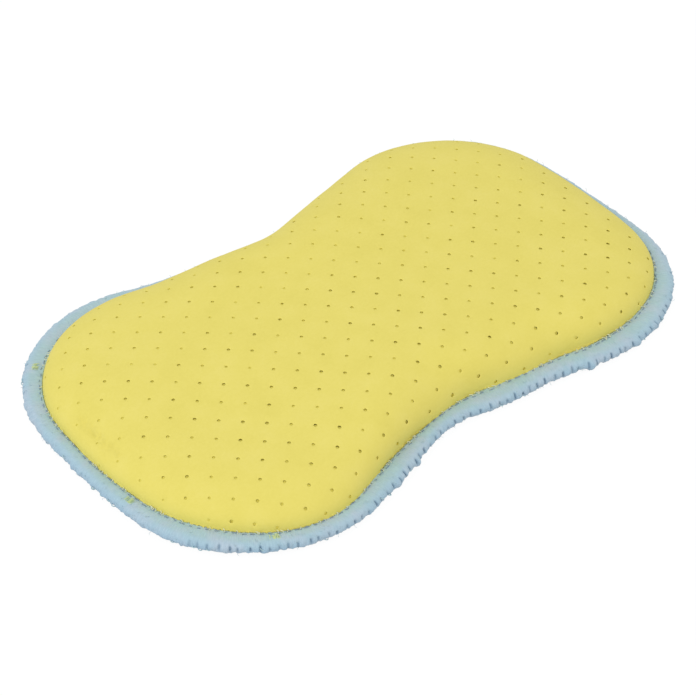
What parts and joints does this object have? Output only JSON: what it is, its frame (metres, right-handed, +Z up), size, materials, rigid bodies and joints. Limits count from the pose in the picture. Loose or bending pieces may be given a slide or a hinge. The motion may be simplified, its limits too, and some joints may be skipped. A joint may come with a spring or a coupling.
{
  "type": "cleaning sponge",
  "caption": "Crowned peanut-shaped cleaning pad with a perforated chamois top over foam, a plain flat back and an overlocked yarn edge.",
  "frame": {"origin": "centre of the pad on the surface that its flat back lies on", "axes": "+X along the pad's length, +Y across it, +Z up through the crown"},
  "size_m": [0.2, 0.118, 0.017],
  "materials": {
    "back_cloth": "plain napped synthetic chamois, matt",
    "foam": "open-cell polyurethane foam",
    "chamois": "perforated synthetic chamois, matt and slightly napped",
    "edge_yarn": "bulky textured polyester yarn, soft sheen"
  },
  "bodies": {
    "root": {"back_cover": "back_cloth", "foam_core": "foam", "top_cover": "chamois", "edge_overlock": "edge_yarn"}
  },
  "joints": []
}
